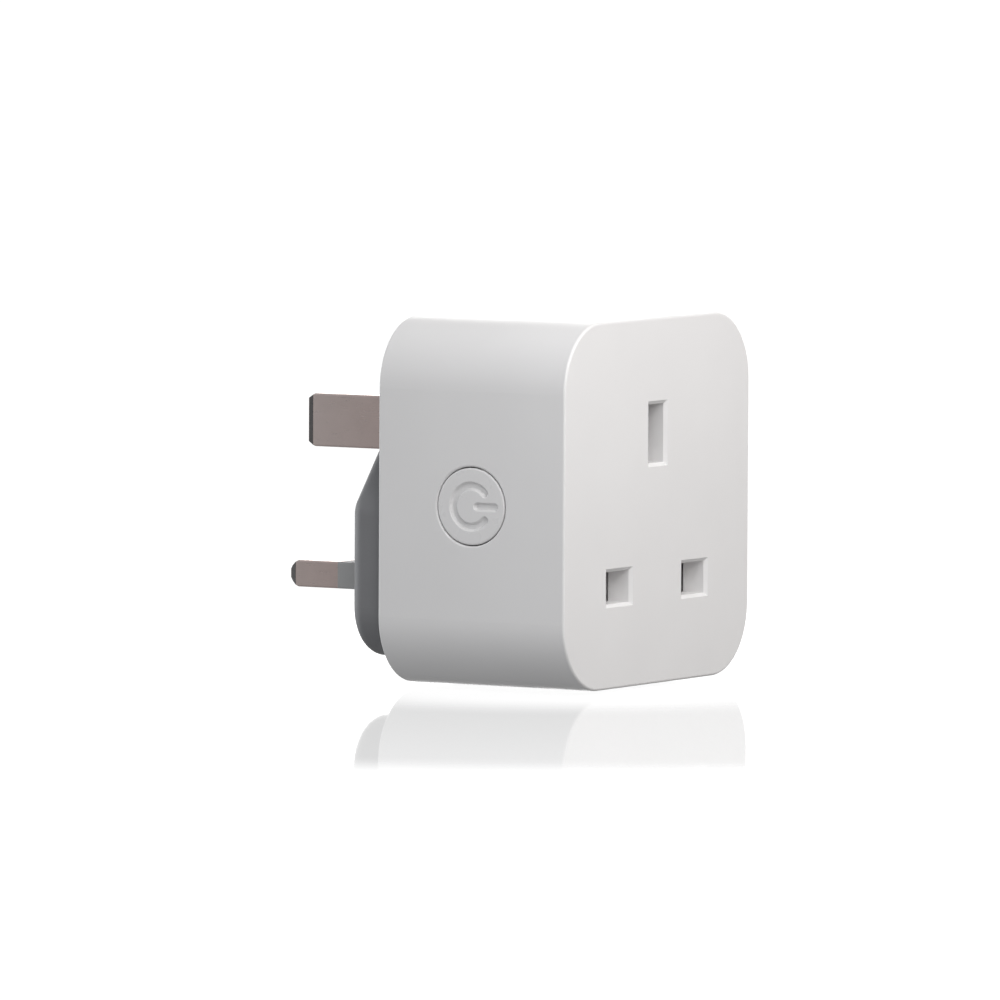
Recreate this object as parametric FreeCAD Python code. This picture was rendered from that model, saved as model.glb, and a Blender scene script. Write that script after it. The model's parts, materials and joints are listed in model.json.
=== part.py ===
import FreeCAD, Part
import math
import os

from FreeCAD import Vector

# Plug-through power meter for 13 A flat-pin sockets. All sizes in millimetres.
# Frame: +Z up, socket face towards -Y, plug pins towards +Y, push button on the -X side.
# The origin is the middle of the flat underside of the case.

# ---------------------------------------------------------------- driving sizes
CASE_WIDTH = 54.6
CASE_HEIGHT = 54.5
CASE_DEPTH = 32.0
CASE_CORNER = 10.3          # corner radius of the case outline
EDGE_ROUND = 0.4            # outer edges of the shell
WALL = 2.0
FRONT = -CASE_DEPTH / 2
REAR = CASE_DEPTH / 2
INSIDE_FRONT = FRONT + WALL

# Pin layout of the 13 A system
POLE_X = 22.23 / 2          # line at +X, neutral at -X
POLE_Z = 15.0               # height of the line and neutral pins
EARTH_Z = POLE_Z + 22.23
POLE_PIN = (6.35, 4.0)      # width, height
EARTH_PIN = (4.0, 8.0)
POLE_REACH = 17.6           # beyond the plug face
EARTH_REACH = 22.0
SLEEVE_REACH = 9.1
# tip profiles: (distance back from the tip, cut from the side or top)
POLE_SIDE_TAPER = ((1.1, 0.0), (0.0, 0.5))
POLE_TOP_TAPER = ((1.6, 0.0), (1.0, 0.35), (0.4, 0.85), (0.0, 1.4))
EARTH_SIDE_TAPER = ((0.9, 0.0), (0.0, 0.3))
EARTH_TOP_TAPER = ((1.3, 0.0), (0.0, 0.74))
SLEEVE_WALL = 0.8
PIN_EDGE = 0.3
PIN_GAP = 0.05              # between the pins and the cover
POLE_APERTURE = (7.0, 4.8)
EARTH_APERTURE = (4.8, 8.8)
APERTURE_CHAMFER = 0.5
APERTURE_DEPTH = 4.0        # face thickness plus the collar behind it

# Rear cover
COVER_THICK = 2.5
COVER_GAP = 0.1
COVER_INSET = 1.1           # rim of the shell that stays around the cover
COVER_FRONT = REAR - COVER_THICK
BOSS_HEIGHT = 5.8
PLUG_FACE = REAR + BOSS_HEIGHT
BOSS_WALL = 2.2
BOSS_EDGE = 2.2             # rounding between the boss's sides and the plug face
BOSS_HALF = 26.0
BOSS_BOTTOM = 3.8
BOSS_SHOULDER = 26.6        # height where the sides turn inwards
BOSS_TOP = 50.0
BOSS_TOP_HALF = 5.7
PIN_HEAD = 1.2
PIN_HEAD_FRONT = 14.0
PIN_KEY_Y = 16.2            # rod of the cover's plastic moulded through a cross hole in each pin
PIN_KEY_RADIUS = 0.6
SLEEVE_START = 17.1

# Case screws, one in each corner
SCREW_X = 20.5
SCREW_LOW_Z = 9.5
POST_RADIUS = 3.25
POST_END = 11.5
SCREW_SEAT = 14.1

# Push button, in the middle of the -X wall
BUTTON_Z = CASE_HEIGHT / 2
BUTTON_RADIUS = 5.7
BUTTON_GAP = 0.18
BUTTON_HOLE_EDGE = 0.3      # rounding of the hole's rim
BUTTON_OUT = -CASE_WIDTH / 2
WALL_IN = BUTTON_OUT + WALL
BUTTON_FLANGE = 6.7
BUTTON_BACK = WALL_IN + 1.0
SYMBOL_RADIUS = 3.1
SYMBOL_WIDTH = 1.2
SYMBOL_DEPTH = 0.45
SYMBOL_OPENING = 41.0       # degrees from the bar to each end of the arc
SYMBOL_BAR = (1.05, 4.0)    # centres of the bar's round ends, from the button's axis
TACT_TIP = -22.6
TACT_TOP = -21.6
SWITCH_BOARD_X = (-18.1, -16.9)

# Socket shutter: a slider behind the face, pushed down by the earth pin
SHUTTER_Y = (-11.4, -9.2)
SHUTTER_TRAVEL = 6.0
BLADE_Z = (12.0, 12.2 + SHUTTER_TRAVEL)
BLADE_HALF = 15.3
STEM_HALF = 3.8
WINDOW_HALF = 2.5
WINDOW_Z = (33.0, 47.6)
SHUTTER_TOP = 49.5
RAMP_REAR = -5.6
RAMP_HALF = 2.2
SPRING_Y = -10.9
SPRING_SEAT = 3.0
SPRING_WIRE = 0.4
SPRING_COIL = 1.3           # radius of the wire's centre line
SPRING_TURNS = 4.5
SPRING_SIDES = 12           # flats round the wire's section

# Contact carrier and contacts
CARRIER_Y = (-9.0, -7.8)
CARRIER_SCREW = (9.0, 26.0)
STRIP = 0.8                 # thickness of the contact strip
POLE_CLIP_WIDTH = 5.6
EARTH_CLIP_WIDTH = 7.0

# Main board
BOARD_Y = (9.0, 10.6)
LEAD_END = 11.3
BOARD_SCREW = (21.0, 17.0)
TAIL_Z = POLE_Z - 1.8       # solder tail of a pole contact
TAB_Z = POLE_Z + 1.4        # solder tab of a pole pin

# Relay
RELAY_X = (6.6, 17.0)
RELAY_Z = (24.0, 44.5)
RELAY_TOP = -5.8
RELAY_WALL = 0.7
RELAY_MID = sum(RELAY_X) / 2
COIL_Z = 30.0
POLE_FACE = -1.35           # end of the relay's core
ARMATURE_Y = (-2.9, -1.9)
CONTACT_GAP = 0.45


# ---------------------------------------------------------------- basic shapes
def box(xs, ys, zs):
    return Part.makeBox(xs[1] - xs[0], ys[1] - ys[0], zs[1] - zs[0], Vector(xs[0], ys[0], zs[0]))


def slab(centre, half, ys):
    """Box with a centre and half sizes in X and Z, between two Y planes."""
    xs = (centre[0] - half[0], centre[0] + half[0])
    zs = (centre[1] - half[1], centre[1] + half[1])
    return box(xs, ys, zs)


def rod_x(yz, radius, xs):
    return Part.makeCylinder(radius, xs[1] - xs[0], Vector(xs[0], yz[0], yz[1]), Vector(1, 0, 0))


def rod_y(xz, radius, ys):
    return Part.makeCylinder(radius, ys[1] - ys[0], Vector(xz[0], ys[0], xz[1]), Vector(0, 1, 0))


def rod_z(xy, radius, zs):
    return Part.makeCylinder(radius, zs[1] - zs[0], Vector(xy[0], xy[1], zs[0]), Vector(0, 0, 1))


def join(first, *others):
    return first.fuse(list(others)).removeSplitter()


def prism(points, axis, span):
    """Polygon in the plane across an axis, extruded along it. Points are (y, z) for X, (x, z) for Y."""
    if axis == "x":
        ring = [Vector(span[0], a, b) for a, b in points]
        way = Vector(span[1] - span[0], 0, 0)
    elif axis == "y":
        ring = [Vector(a, span[0], b) for a, b in points]
        way = Vector(0, span[1] - span[0], 0)
    else:
        ring = [Vector(a, b, span[0]) for a, b in points]
        way = Vector(0, 0, span[1] - span[0])
    return Part.Face(Part.makePolygon(ring + ring[:1])).extrude(way)


def outline(corners, y):
    """Face in an XZ plane with rounded corners, each corner given as (x, z, radius)."""
    arcs = []
    for i, (x, z, radius) in enumerate(corners):
        here = Vector(x, y, z)
        last = corners[i - 1]
        following = corners[(i + 1) % len(corners)]
        back = (Vector(last[0], y, last[1]) - here).normalize()
        ahead = (Vector(following[0], y, following[1]) - here).normalize()
        half = back.getAngle(ahead) / 2
        inward = (back + ahead).normalize()
        start = here + back * (radius / math.tan(half))
        end = here + ahead * (radius / math.tan(half))
        middle = here + inward * (radius / math.sin(half) - radius)
        arcs.append((start, middle, end))
    edges = []
    for i, (start, middle, end) in enumerate(arcs):
        edges.append(Part.Arc(start, middle, end).toShape())
        edges.append(Part.LineSegment(end, arcs[(i + 1) % len(arcs)][0]).toShape())
    return Part.Face(Part.Wire(edges))


def case_block(inset, ys):
    """The case outline, brought in by an inset, between two Y planes."""
    half = CASE_WIDTH / 2 - inset
    low = inset
    high = CASE_HEIGHT - inset
    radius = CASE_CORNER - inset
    corners = [(-half, low, radius), (half, low, radius), (half, high, radius), (-half, high, radius)]
    return outline(corners, ys[0]).extrude(Vector(0, ys[1] - ys[0], 0))


def boss_block(inset, ys):
    """The plug boss outline, brought in by an inset, between two Y planes."""
    slope = (BOSS_HALF - BOSS_TOP_HALF) / (BOSS_TOP - BOSS_SHOULDER)
    length = math.hypot(slope, 1)
    half = BOSS_HALF - inset
    top = BOSS_TOP - inset
    # the slanted side moves inwards along its own normal
    shoulder = BOSS_SHOULDER - inset * (length - 1) / slope
    top_half = half - (top - shoulder) * slope
    low_radius = 7.6 - inset
    top_radius = 5.5 - inset
    side_radius = 4.0
    corners = [
        (-half, BOSS_BOTTOM + inset, low_radius),
        (half, BOSS_BOTTOM + inset, low_radius),
        (half, shoulder, side_radius),
        (top_half, top, top_radius),
        (-top_half, top, top_radius),
        (-half, shoulder, side_radius),
    ]
    return outline(corners, ys[0]).extrude(Vector(0, ys[1] - ys[0], 0))


def ribbon(path, thickness):
    """Outline of a strip bent along an open path, its thickness on the left of the path."""
    far_side = []
    last = len(path) - 1
    for i, point in enumerate(path):
        normals = []
        for start, end in ((max(i - 1, 0), max(i, 1)), (min(i, last - 1), min(i + 1, last))):
            run = Vector(path[end][0] - path[start][0], path[end][1] - path[start][1], 0).normalize()
            normals.append(Vector(-run.y, run.x, 0))
        mitre = (normals[0] + normals[1]).normalize()
        reach = thickness / mitre.dot(normals[0])
        far_side.append((point[0] + mitre.x * reach, point[1] + mitre.y * reach))
    return list(path) + far_side[::-1]


def edges_at_y(shape, y):
    return [e for e in shape.Edges if all(abs(v.Y - y) < 1e-6 for v in e.Vertexes)]


def edges_along_y(shape):
    found = []
    for edge in shape.Edges:
        a, b = edge.Vertexes[0].Point, edge.Vertexes[-1].Point
        if abs(a.x - b.x) < 1e-6 and abs(a.z - b.z) < 1e-6 and abs(a.y - b.y) > 1e-6:
            found.append(edge)
    return found


def rounded_bar(centre, half, ys, radius):
    bar = slab(centre, half, ys)
    return bar.makeFillet(radius, edges_along_y(bar))


def self_tapper(xz, seat, head, shank, length):
    """Screw driven towards -Y, with a cross recess. Head is (radius, height)."""
    screw = join(
        rod_y(xz, head[0], (seat, seat + head[1])),
        rod_y(xz, shank, (seat - length, seat)),
    )
    arm = head[0] * 0.62
    slot = 0.35
    recess = (seat + head[1] * 0.45, seat + head[1] + 1)
    cross = slab(xz, (arm, slot), recess).fuse(slab(xz, (slot, arm), recess))
    return screw.cut(cross)


def corner_places(x, z_low):
    return [(side * x, z) for z in (z_low, CASE_HEIGHT - z_low) for side in (-1, 1)]


def pole_places():
    return [(side * POLE_X, POLE_Z) for side in (-1, 1)]


CASE_SCREWS = corner_places(SCREW_X, SCREW_LOW_Z)
BOARD_SCREWS = [(-BOARD_SCREW[0], BOARD_SCREW[1]), BOARD_SCREW]
CARRIER_SCREWS = [(-CARRIER_SCREW[0], CARRIER_SCREW[1]), CARRIER_SCREW]


# ---------------------------------------------------------------- case
def front_shell():
    """White cup: socket face and side walls, with collars, posts and guides inside."""
    shell = case_block(0, (FRONT, REAR))
    shell = shell.makeFillet(EDGE_ROUND, edges_at_y(shell, FRONT) + edges_at_y(shell, REAR))
    shell = shell.cut(case_block(WALL, (INSIDE_FRONT, REAR + 1)))
    shell = shell.cut(case_block(COVER_INSET, (COVER_FRONT, REAR + 1)))
    # collars that carry each aperture's walls back towards the shutter
    back = FRONT + APERTURE_DEPTH
    collar = 1.2
    apertures = [(place, POLE_APERTURE) for place in pole_places()]
    apertures.append(((0, EARTH_Z), EARTH_APERTURE))
    adds = []
    for place, size in apertures:
        adds.append(slab(place, (size[0] / 2 + collar, size[1] / 2 + collar), (INSIDE_FRONT - 0.5, back)))
    # screw posts, tied to the side walls by a rib
    for x, z in CASE_SCREWS:
        adds.append(rod_y((x, z), POST_RADIUS, (INSIDE_FRONT - 0.5, POST_END)))
        side = math.copysign(1, x)
        xs = sorted((x, side * (CASE_WIDTH / 2 - WALL / 2)))
        adds.append(box(xs, (INSIDE_FRONT - 0.5, POST_END - 3), (z - 0.6, z + 0.6)))
    for place in BOARD_SCREWS:
        adds.append(rod_y(place, 2.3, (INSIDE_FRONT - 0.5, BOARD_Y[0] - 0.02)))
    for place in CARRIER_SCREWS:
        adds.append(rod_y(place, 2.3, (INSIDE_FRONT - 0.5, CARRIER_Y[0] - 0.02)))
    # guide ring for the button's flange
    ring = rod_x((0, BUTTON_Z), 8.0, (WALL_IN - 0.5, -22.5))
    ring = ring.cut(rod_x((0, BUTTON_Z), BUTTON_FLANGE + 0.15, (WALL_IN - 1, -22)))
    adds.append(ring)
    # slotted rib that holds the switch board's front edge
    rib = box((-19.0, -16.0), (INSIDE_FRONT - 0.5, -6.5), (21.0, 34.0))
    slot = (SWITCH_BOARD_X[0] - 0.05, SWITCH_BOARD_X[1] + 0.05)
    adds.append(rib.cut(box(slot, (-8.0, -6.0), (20.0, 35.0))))
    # ledges for the top edge of the main board
    for side in (-1, 1):
        xs = sorted((side * 13.2, side * 16.4))
        adds.append(box(xs, (6.5, BOARD_Y[0] - 0.02), (50.3, CASE_HEIGHT - WALL / 2)))
    # spring seat with its peg
    adds.append(box((-2.6, 2.6), (INSIDE_FRONT - 0.5, -9.4), (WALL / 2, SPRING_SEAT)))
    adds.append(rod_z((0, SPRING_Y), 0.8, (SPRING_SEAT - 0.5, SPRING_SEAT + 1.0)))
    shell = join(shell, *adds)

    cuts = []
    for place, size in apertures:
        cuts.append(slab(place, (size[0] / 2, size[1] / 2), (FRONT - 1, back + 1)))
    for place in CASE_SCREWS:
        cuts.append(rod_y(place, 1.35, (3.0, POST_END + 1)))
    for place in BOARD_SCREWS:
        cuts.append(rod_y(place, 1.05, (1.0, BOARD_Y[0] + 1)))
    for place in CARRIER_SCREWS:
        cuts.append(rod_y(place, 1.05, (-13.5, CARRIER_Y[0] + 1)))
    cuts.append(rod_x((0, BUTTON_Z), BUTTON_RADIUS + BUTTON_GAP, (BUTTON_OUT - 1, WALL_IN + 0.5)))
    cuts.append(box((WALL_IN + 0.01, -22.0), (-1.0, 1.0), (BUTTON_Z + 6.0, BUTTON_Z + 8.5)))
    shell = shell.cut(cuts)

    rims = []
    for edge in edges_at_y(shell, FRONT):
        middle = edge.CenterOfMass
        near_edge = abs(middle.x) > CASE_WIDTH / 2 - 2 or not 2 < middle.z < CASE_HEIGHT - 2
        if edge.Curve.TypeId == "Part::GeomLine" and not near_edge:
            rims.append(edge)
    shell = shell.makeChamfer(APERTURE_CHAMFER, rims)
    hole = [
        e for e in shell.Edges
        if e.Curve.TypeId == "Part::GeomCircle"
        and abs(e.Curve.Radius - BUTTON_RADIUS - BUTTON_GAP) < 1e-3
        and abs(e.CenterOfMass.x - BUTTON_OUT) < 0.1
    ]
    return shell.makeFillet(BUTTON_HOLE_EDGE, hole)


def rear_cover():
    """Grey cover set into the back of the shell, with the hollow plug boss."""
    cover = case_block(COVER_INSET + COVER_GAP, (COVER_FRONT, REAR))
    boss = boss_block(0, (REAR - 1, PLUG_FACE))
    boss = boss.makeFillet(BOSS_EDGE, edges_at_y(boss, PLUG_FACE))
    inner_face = PLUG_FACE - BOSS_WALL
    cover = join(cover, boss).cut(boss_block(BOSS_WALL, (COVER_FRONT - 1, inner_face)))
    adds = []
    # collars that the pins are moulded into
    for place in pole_places():
        half = (POLE_PIN[0] / 2 + 1.8, POLE_PIN[1] / 2 + 1.8)
        adds.append(slab(place, half, (PIN_HEAD_FRONT + PIN_HEAD, inner_face + 0.5)))
    half = (EARTH_PIN[0] / 2 + 1.8, EARTH_PIN[1] / 2 + 1.8)
    adds.append(slab((0, EARTH_Z), half, (PIN_HEAD_FRONT + PIN_HEAD, inner_face + 0.5)))
    # ribs that stiffen the boss
    for x in (-6.0, 6.0):
        adds.append(box((x - 0.6, x + 0.6), (COVER_FRONT, inner_face + 0.5), (5.0, 30.0)))
    # screw collars: the lower two stand inside the boss
    for place in CASE_SCREWS:
        end = inner_face + 0.5 if place[1] < BUTTON_Z else REAR - 0.5
        adds.append(rod_y(place, POST_RADIUS, (POST_END + 0.02, end)))
    cover = join(cover, *adds)
    cuts = []
    for place in pole_places():
        half = (POLE_PIN[0] / 2 + PIN_GAP, POLE_PIN[1] / 2 + PIN_GAP)
        cuts.append(slab(place, half, (COVER_FRONT, PLUG_FACE + 1)))
    half = (EARTH_PIN[0] / 2 + PIN_GAP, EARTH_PIN[1] / 2 + PIN_GAP)
    cuts.append(slab((0, EARTH_Z), half, (COVER_FRONT, PLUG_FACE + 1)))
    for place in CASE_SCREWS:
        cuts.append(rod_y(place, 1.6, (POST_END - 1, SCREW_SEAT + 1)))
        cuts.append(rod_y(place, 2.7, (SCREW_SEAT, PLUG_FACE + 1)))
    return join(cover.cut(cuts), *pin_keys(PIN_KEY_RADIUS, 0.5))


def case_screws():
    heads = (2.5, 1.7)
    return Part.makeCompound([self_tapper(p, SCREW_SEAT, heads, 1.3, 10.5) for p in CASE_SCREWS])


# ---------------------------------------------------------------- plug pins
def pin_keys(radius, overlap):
    """Rods across the roots of the line, neutral and earth pins, a little longer than each pin is thick."""
    keys = []
    half = POLE_PIN[1] / 2 + overlap
    for x, z in pole_places():
        keys.append(rod_z((x, PIN_KEY_Y), radius, (z - half, z + half)))
    half = EARTH_PIN[0] / 2 + overlap
    keys.append(rod_x((PIN_KEY_Y, EARTH_Z), radius, (-half, half)))
    return keys


def tip_profile(half, ends, taper):
    """Outline of a pin seen along X or Z, as (offset from its axis, y), tapered at the far end."""
    start, tip = ends
    one_side = [(half, start)] + [(half - cut, tip - back) for back, cut in taper]
    return one_side + [(-offset, y) for offset, y in one_side[::-1]]


def pin_bar(centre, size, reach, side_taper, top_taper):
    """Flat pin with rounded long edges and a tapered tip."""
    ends = (PIN_HEAD_FRONT, PLUG_FACE + reach)
    half = (size[0] / 2, size[1] / 2)
    from_above = [(centre[0] + x, y) for x, y in tip_profile(half[0], ends, side_taper)]
    from_side = [(y, centre[1] + z) for z, y in tip_profile(half[1], ends, top_taper)]
    heights = (centre[1] - half[1] - 1, centre[1] + half[1] + 1)
    widths = (centre[0] - half[0] - 1, centre[0] + half[0] + 1)
    bar = rounded_bar(centre, half, ends, PIN_EDGE)
    return bar.common(prism(from_above, "z", heights)).common(prism(from_side, "x", widths))


def pole_pin(side):
    place = (side * POLE_X, POLE_Z)
    pin = pin_bar(place, POLE_PIN, POLE_REACH, POLE_SIDE_TAPER, POLE_TOP_TAPER)
    sleeve = sleeve_span()
    ring = slab(place, (POLE_PIN[0], POLE_PIN[1]), sleeve)
    pin = pin.cut(ring.cut(slab(place, sleeve_core(), sleeve)))
    head = slab(place, (4.4, 3.2), (PIN_HEAD_FRONT, PIN_HEAD_FRONT + PIN_HEAD))
    tab = slab((place[0], TAB_Z), (1.8, STRIP / 2), (BOARD_Y[0] - 0.6, PIN_HEAD_FRONT))
    return join(pin, head, tab).cut(pin_keys(PIN_KEY_RADIUS + PIN_GAP, 1.0))


def sleeve_span():
    return (SLEEVE_START, PLUG_FACE + SLEEVE_REACH)


def sleeve_core():
    return (POLE_PIN[0] / 2 - SLEEVE_WALL, POLE_PIN[1] / 2 - SLEEVE_WALL)


def pin_sleeve(side):
    place = (side * POLE_X, POLE_Z)
    sleeve = rounded_bar(place, (POLE_PIN[0] / 2, POLE_PIN[1] / 2), sleeve_span(), PIN_EDGE)
    return sleeve.cut(slab(place, sleeve_core(), sleeve_span()))


def earth_pin():
    """The longer pin, riveted to the earth link by a tenon at its root."""
    place = (0, EARTH_Z)
    pin = pin_bar(place, EARTH_PIN, EARTH_REACH, EARTH_SIDE_TAPER, EARTH_TOP_TAPER)
    head = slab(place, (3.2, 5.2), (PIN_HEAD_FRONT, PIN_HEAD_FRONT + PIN_HEAD))
    pin = join(pin, head, rod_y(place, 1.5, (PIN_HEAD_FRONT - 1.2, PIN_HEAD_FRONT)))
    return pin.cut(pin_keys(PIN_KEY_RADIUS + PIN_GAP, 1.0))


# ---------------------------------------------------------------- button side
def power_symbol():
    """Solid of the sunk power symbol: an open ring and a bar that points to the front."""
    xs = (BUTTON_OUT - 1, BUTTON_OUT + SYMBOL_DEPTH)
    centre = (0, BUTTON_Z)
    half = SYMBOL_WIDTH / 2
    ring = rod_x(centre, SYMBOL_RADIUS + half, xs).cut(rod_x(centre, SYMBOL_RADIUS - half, xs))
    angle = math.radians(SYMBOL_OPENING)
    far = 2 * SYMBOL_RADIUS
    wedge = prism(
        [
            (0, BUTTON_Z),
            (-far * math.cos(angle), BUTTON_Z - far * math.sin(angle)),
            (-far * math.cos(angle), BUTTON_Z + far * math.sin(angle)),
        ],
        "x",
        (xs[0] - 1, xs[1] + 1),
    )
    parts = []
    for way in (-1, 1):
        end = (-SYMBOL_RADIUS * math.cos(angle), BUTTON_Z + way * SYMBOL_RADIUS * math.sin(angle))
        parts.append(rod_x(end, half, xs))
    near, far_end = SYMBOL_BAR
    parts.append(box(xs, (-far_end, -near), (BUTTON_Z - half, BUTTON_Z + half)))
    parts.append(rod_x((-near, BUTTON_Z), half, xs))
    parts.append(rod_x((-far_end, BUTTON_Z), half, xs))
    return ring.cut(wedge).fuse(parts)


def power_button():
    centre = (0, BUTTON_Z)
    cap = rod_x(centre, BUTTON_RADIUS, (BUTTON_OUT, BUTTON_BACK))
    front_edge = [e for e in cap.Edges if abs(e.CenterOfMass.x - BUTTON_OUT) < 1e-6]
    cap = cap.makeFillet(0.25, front_edge)
    flange = rod_x(centre, BUTTON_FLANGE, (WALL_IN + 0.05, BUTTON_BACK))
    key = box((WALL_IN + 0.05, BUTTON_BACK), (-0.8, 0.8), (BUTTON_Z + 6.2, BUTTON_Z + 7.6))
    button = join(cap, flange, key)
    button = button.cut(rod_x(centre, 4.45, (BUTTON_OUT + 1.4, BUTTON_BACK + 1)))
    stem = rod_x(centre, 1.6, (BUTTON_OUT + 1.0, TACT_TIP - 0.05))
    return join(button, stem).cut(power_symbol())


def button_light_guide():
    """Translucent ring behind the button that carries the indicator's light to the symbol."""
    centre = (0, BUTTON_Z)
    spigot = rod_x(centre, 4.4, (BUTTON_OUT + 1.4, BUTTON_BACK))
    disc = rod_x(centre, 5.4, (BUTTON_BACK, BUTTON_BACK + 0.8))
    ring = rod_x(centre, 5.4, (BUTTON_BACK, -19.7)).cut(rod_x(centre, 4.55, (BUTTON_BACK, -19)))
    guide = join(spigot, disc, ring)
    return guide.cut(rod_x(centre, 1.65, (BUTTON_OUT, -19)))


def tact_switch_body():
    body = box((TACT_TOP, SWITCH_BOARD_X[0]), (-3, 3), (BUTTON_Z - 3, BUTTON_Z + 3))
    body = body.makeFillet(0.4, [e for e in body.Edges if abs(e.Vertexes[0].X - e.Vertexes[-1].X) > 1])
    return body.cut(rod_x((0, BUTTON_Z), 1.75, (TACT_TOP - 1, TACT_TOP + 0.75)))


def tact_switch_plunger():
    plunger = rod_x((0, BUTTON_Z), 1.7, (TACT_TIP, TACT_TOP + 0.1))
    tip = [e for e in plunger.Edges if abs(e.CenterOfMass.x - TACT_TIP) < 1e-6]
    return plunger.makeFillet(0.2, tip)


def status_led():
    return box((SWITCH_BOARD_X[0] - 0.8, SWITCH_BOARD_X[0]), (-5.6, -4.3), (BUTTON_Z - 0.8, BUTTON_Z + 0.8))


def switch_board():
    return box(SWITCH_BOARD_X, (-7.9, 8.6), (21.2, 33.3))


def switch_pin_places():
    return [(SWITCH_BOARD_X[1] + 0.3, z) for z in (23.0, 25.5, 28.0, 30.5)]


def switch_board_pins():
    pins = [slab(place, (0.3, 0.3), (5.5, LEAD_END)) for place in switch_pin_places()]
    return Part.makeCompound(pins)


# ---------------------------------------------------------------- socket
def socket_shutter():
    """Slider that closes the pole apertures; its ramp stands behind the earth aperture."""
    stem = box((-STEM_HALF, STEM_HALF), SHUTTER_Y, (BLADE_Z[0], SHUTTER_TOP))
    blades = box((-BLADE_HALF, BLADE_HALF), SHUTTER_Y, BLADE_Z)
    slider = join(stem, blades).cut(box((-WINDOW_HALF, WINDOW_HALF), (-12, -9), WINDOW_Z))
    front, back = SHUTTER_Y
    low = WINDOW_Z[0]
    rise = RAMP_REAR - front
    ramp = prism(
        [
            (front, low - 2.0),
            (front, low),
            (RAMP_REAR, low + rise),
            (RAMP_REAR, low + rise - 2.6),
            (back, low - 1.2),
            (back, low - 2.0),
        ],
        "x",
        (-RAMP_HALF, RAMP_HALF),
    )
    peg = rod_z((0, SPRING_Y), 0.8, (BLADE_Z[0] - 0.8, BLADE_Z[0]))
    return join(slider, ramp, peg.common(box((-1, 1), (SHUTTER_Y[0], -9), (0, 20))))


def shutter_spring():
    """Compression spring between the shell's seat and the slider."""
    low = SPRING_SEAT + SPRING_WIRE / 2 + 0.05
    height = BLADE_Z[0] - SPRING_SEAT - SPRING_WIRE - 0.1
    helix = Part.makeHelix(height / SPRING_TURNS, height, SPRING_COIL)
    corners = []
    for i in range(SPRING_SIDES + 1):
        angle = 2 * math.pi * (i + 0.5) / SPRING_SIDES
        reach = SPRING_COIL + SPRING_WIRE / 2 * math.cos(angle)
        corners.append(Vector(reach, 0, SPRING_WIRE / 2 * math.sin(angle)))
    section = Part.makePolygon(corners)
    spring = Part.Wire(helix.Edges).makePipeShell([section], True, True)
    spring.translate(Vector(0, SPRING_Y, low))
    return spring


def contact_carrier():
    """Moulding behind the shutter, with a pocket for each contact and rails for the slider."""
    plate = join(
        box((-7.5, 7.5), CARRIER_Y, (8.0, 47.0)),
        box((-16.4, 16.4), CARRIER_Y, (8.0, 20.8)),
        box((-11.8, 11.8), CARRIER_Y, (20.0, 29.0)),
    )
    back = CARRIER_Y[1]
    pockets = [slab(place, (5.0, 5.2), (back - 0.2, 2.0)) for place in pole_places()]
    earth = slab((0, EARTH_Z), (5.2, 5.4), (back - 0.2, 7.4))
    rails = [box(sorted((s * 4.0, s * 5.2)), (SHUTTER_Y[0], CARRIER_Y[0] + 0.2), (20.0, 32.0)) for s in (-1, 1)]
    carrier = join(plate, earth, *pockets, *rails)
    cuts = []
    for place in pole_places():
        cuts.append(slab(place, (3.8, 2.7), (CARRIER_Y[0] - 1, back + 1)))
        cuts.append(slab(place, (4.0, 4.2), (back, 3.0)))
    cuts.append(slab((0, EARTH_Z), (4.2, 4.3), (back, 8.0)))
    cuts.append(box((-2.9, 2.9), (CARRIER_Y[0] - 1, back + 1), (24.0, EARTH_Z + 5.0)))
    cuts.append(box((-2.9, 2.9), (back - 1, -5.0), (24.0, EARTH_Z - 4.0)))
    for place in CARRIER_SCREWS:
        cuts.append(rod_y(place, 1.15, (CARRIER_Y[0] - 1, back + 1)))
    return carrier.cut(cuts)


def carrier_screws():
    seat = CARRIER_Y[1] + 0.02
    return Part.makeCompound([self_tapper(p, seat, (1.9, 1.2), 1.0, 5.0) for p in CARRIER_SCREWS])


def clip_path(mouth, waist, base):
    """One continuous strip: flared mouth, pinched waist, straight back; symmetrical about zero."""
    upper = [(mouth, 2.9), (waist, 1.75), (base, 2.3)]
    return upper + [(y, -across) for y, across in reversed(upper)]


def pole_contact(side):
    """Folded brass clip that grips a pole pin from above and below, with a solder tail."""
    place = side * POLE_X
    path = [(y, POLE_Z + across) for y, across in clip_path(-6.8, -3.6, 2.4)]
    half = POLE_CLIP_WIDTH / 2
    clip = prism(ribbon(path, STRIP), "x", (place - half, place + half))
    tail = slab((place, TAIL_Z), (1.5, STRIP / 2), (2.8, LEAD_END))
    return join(clip, tail)


def earth_contact():
    path = clip_path(-2.4, 0.8, 7.8)
    clip = prism([(x, y) for y, x in ribbon(path, STRIP)], "z", (0, EARTH_CLIP_WIDTH))
    clip.translate(Vector(0, 0, EARTH_Z - EARTH_CLIP_WIDTH / 2))
    return clip


def earth_link():
    """Folded strap from the earth contact's back to the root of the earth pin."""
    start = 7.8 + STRIP + 0.02
    end = PIN_HEAD_FRONT - 0.02
    path = [(start, -2.4), (start, 3.6), (end, 3.6), (end, -2.4)]
    link = prism([(x, y) for y, x in ribbon(path[::-1], STRIP)], "z", (0, 6.0))
    link.translate(Vector(0, 0, EARTH_Z - 3.0))
    return link.cut(rod_y((0, EARTH_Z), 1.55, (end - STRIP - 0.5, end + 1)))


def busbar(points, slots):
    """Flat bar on the back of the main board, with a slot for each tab that it takes."""
    back = BOARD_Y[1]
    bar = prism(points, "y", (back, back + STRIP))
    return bar.cut([slab(place, half, (back - 1, back + 2)) for place, half in slots])


TAB_SLOT = (1.85, STRIP / 2 + 0.05)
TAIL_SLOT = (1.55, STRIP / 2 + 0.05)


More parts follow.
